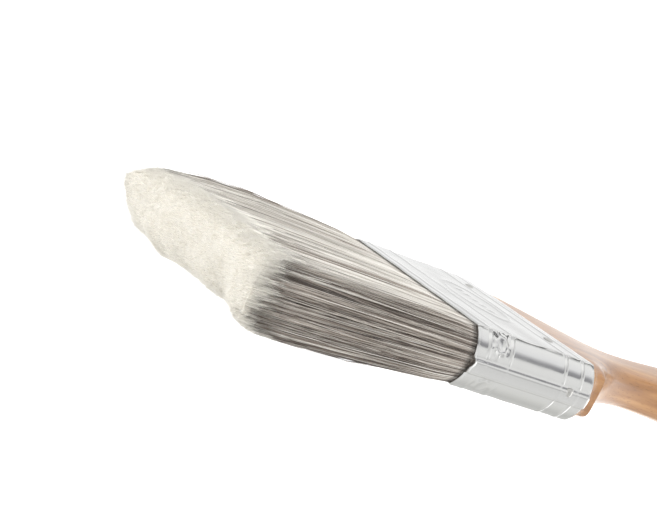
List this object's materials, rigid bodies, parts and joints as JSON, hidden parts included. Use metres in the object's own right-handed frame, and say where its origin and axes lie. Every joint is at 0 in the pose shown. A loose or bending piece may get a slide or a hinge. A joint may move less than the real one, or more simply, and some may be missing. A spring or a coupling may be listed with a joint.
{
  "type": "flat wall paint brush",
  "caption": "Flat wall paint brush with tapered synthetic bristles, flagged light tips, a beaded metal ferrule and a wooden beavertail handle.",
  "frame": {"origin": "middle of the underside of the whole brush, lying on one wide face", "axes": "+X from the handle to the bristle tips, +Y to the narrow side with the lap seam, +Z out of the upper wide face"},
  "size_m": [0.2685, 0.0806, 0.0215],
  "materials": {
    "lacquered_wood": "clear lacquer over beech",
    "ferrule_steel": "bright rolled stainless sheet",
    "nail_steel": "bright nail steel",
    "setting_resin": "cast epoxy",
    "spacer_wood": "bare sawn wood",
    "filament_grey": "tapered polyester filament",
    "filament_tip": "flagged filament ends"
  },
  "bodies": {
    "brush": {"handle": "lacquered_wood", "ferrule": "ferrule_steel", "resin_set": "setting_resin", "spacer_upper": "spacer_wood", "spacer_lower": "spacer_wood", "root_pack_upper": "filament_grey", "root_pack_middle": "filament_grey", "root_pack_lower": "filament_grey", "face_nail_1": "nail_steel", "face_nail_2": "nail_steel", "face_nail_3": "nail_steel", "face_nail_4": "nail_steel", "side_nail_1": "nail_steel", "side_nail_2": "nail_steel"},
    "bristles": {"bristle_pack": "filament_grey", "flagged_tips": "filament_tip"}
  },
  "joints": [
    {"name": "bristle_flex", "type": "hinge", "parent": "brush", "child": "bristles", "pos_m": [0.06365, 0, 0.01075], "axis": [0, 1, 0], "range_deg": [-35, 35], "stiffness_Nm_per_rad": 0.8}
  ]
}
